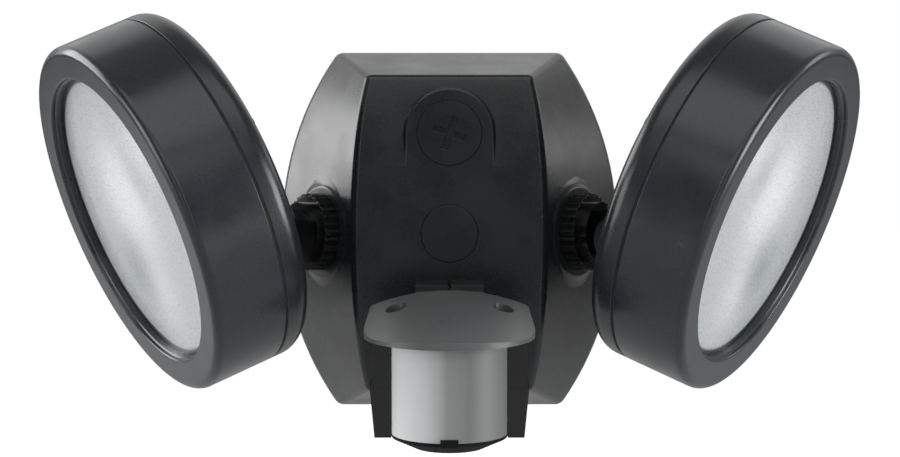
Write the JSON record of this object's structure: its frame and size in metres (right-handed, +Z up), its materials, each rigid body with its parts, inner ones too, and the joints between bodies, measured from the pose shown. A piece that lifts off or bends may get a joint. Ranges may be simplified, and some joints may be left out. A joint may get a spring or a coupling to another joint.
{
  "type": "motion sensor security light",
  "caption": "Outdoor wall light: two round lamp heads and a hooded motion sensor on toothed swivel knuckles, all carried by a chamfered die-cast junction box cover.",
  "frame": {"origin": "centre of the two junction box screw slots, on the wall plane behind the gasket", "axes": "+X to the viewer's right along the crossbar, +Y into the wall, +Z up"},
  "size_m": [0.32, 0.1507, 0.1633],
  "materials": {
    "charcoal_casting": "satin",
    "charcoal_fittings": "gloss",
    "gasket_rubber": "matte",
    "zinc_steel": "brushed",
    "frosted_glass": "frosted",
    "reflector_aluminium": "satin",
    "circuit_board": "matte",
    "potting": "matte",
    "sensor_case_plastic": "gloss",
    "sensor_hood_plastic": "satin",
    "milky_lens_plastic": "satin",
    "knob_plastic": "matte"
  },
  "bodies": {
    "mount": {"cover_plate": "charcoal_casting", "wall_gasket": "gasket_rubber", "box_strap": "zinc_steel", "centre_screw": "zinc_steel", "ground_screw": "zinc_steel", "centre_cap": "charcoal_fittings", "closure_plug": "charcoal_fittings"},
    "left_nut": {"left_locknut": "charcoal_fittings"},
    "left_arm_body": {"left_arm": "charcoal_casting", "left_tilt_bolt": "zinc_steel"},
    "left_head": {"left_bezel": "charcoal_casting", "left_housing_gasket": "gasket_rubber", "left_led_board": "circuit_board", "left_led_driver": "potting", "left_lens": "frosted_glass", "left_rear_housing": "charcoal_casting", "left_reflector": "reflector_aluminium", "left_tilt_nut": "zinc_steel"},
    "right_nut": {"right_locknut": "charcoal_fittings"},
    "right_arm_body": {"right_arm": "charcoal_casting", "right_tilt_bolt": "zinc_steel"},
    "right_head": {"right_bezel": "charcoal_casting", "right_housing_gasket": "gasket_rubber", "right_led_board": "circuit_board", "right_led_driver": "potting", "right_lens": "frosted_glass", "right_rear_housing": "charcoal_casting", "right_reflector": "reflector_aluminium", "right_tilt_nut": "zinc_steel"},
    "sensor_nut": {"sensor_locknut": "charcoal_fittings"},
    "sensor_arm_body": {"sensor_arm": "charcoal_casting", "sensor_tilt_bolt": "zinc_steel"},
    "sensor_head": {"photocell": "sensor_case_plastic", "pir_element": "zinc_steel", "sensor_base_cap": "sensor_case_plastic", "sensor_board": "circuit_board", "sensor_hood": "sensor_hood_plastic", "sensor_lens": "milky_lens_plastic", "sensor_lower_case": "sensor_case_plastic", "sensor_tilt_nut": "zinc_steel", "sensor_upper_case": "sensor_case_plastic"},
    "knob_1": {"control_knob_1": "knob_plastic"},
    "knob_2": {"control_knob_2": "knob_plastic"},
    "knob_3": {"control_knob_3": "knob_plastic"}
  },
  "joints": [
    {"name": "left_nut_turn", "type": "hinge", "parent": "mount", "child": "left_nut", "pos_m": [-0.051, -0.03101, 0], "axis": [-0.8418, -0.5398, 0], "continuous": true},
    {"name": "left_arm_swivel", "type": "hinge", "parent": "mount", "child": "left_arm_body", "pos_m": [-0.051, -0.03101, 0], "axis": [-0.8418, -0.5398, 0], "range_deg": [-45, 15]},
    {"name": "left_head_tilt", "type": "hinge", "parent": "left_arm_body", "child": "left_head", "pos_m": [-0.07347, -0.04542, 0], "axis": [0.5066, -0.79, -0.3453], "range_deg": [-30, 15]},
    {"name": "right_nut_turn", "type": "hinge", "parent": "mount", "child": "right_nut", "pos_m": [0.051, -0.03101, 0], "axis": [0.8418, -0.5398, 0], "continuous": true},
    {"name": "right_arm_swivel", "type": "hinge", "parent": "mount", "child": "right_arm_body", "pos_m": [0.051, -0.03101, 0], "axis": [0.8418, -0.5398, 0], "range_deg": [-15, 45]},
    {"name": "right_head_tilt", "type": "hinge", "parent": "right_arm_body", "child": "right_head", "pos_m": [0.07347, -0.04542, 0], "axis": [0.5066, 0.79, 0.3453], "range_deg": [-30, 15]},
    {"name": "sensor_nut_turn", "type": "hinge", "parent": "mount", "child": "sensor_nut", "pos_m": [0, -0.0492, -0.0392], "axis": [0, -1, 0], "continuous": true},
    {"name": "sensor_arm_swivel", "type": "hinge", "parent": "mount", "child": "sensor_arm_body", "pos_m": [0, -0.0492, -0.0392], "axis": [0, -1, 0], "range_deg": [-30, 30]},
    {"name": "sensor_tilt", "type": "hinge", "parent": "sensor_arm_body", "child": "sensor_head", "pos_m": [0, -0.078, -0.0289], "axis": [1, 0, 0], "range_deg": [-25, 30]},
    {"name": "knob_1_turn", "type": "hinge", "parent": "sensor_head", "child": "knob_1", "pos_m": [-0.013, -0.09803, -0.07416], "axis": [0, 0.1011, -0.9949], "range_deg": [-135, 135]},
    {"name": "knob_2_turn", "type": "hinge", "parent": "sensor_head", "child": "knob_2", "pos_m": [0, -0.09803, -0.07416], "axis": [0, 0.1011, -0.9949], "range_deg": [-135, 135]},
    {"name": "knob_3_turn", "type": "hinge", "parent": "sensor_head", "child": "knob_3", "pos_m": [0.013, -0.09803, -0.07416], "axis": [0, 0.1011, -0.9949], "range_deg": [-135, 135]}
  ]
}
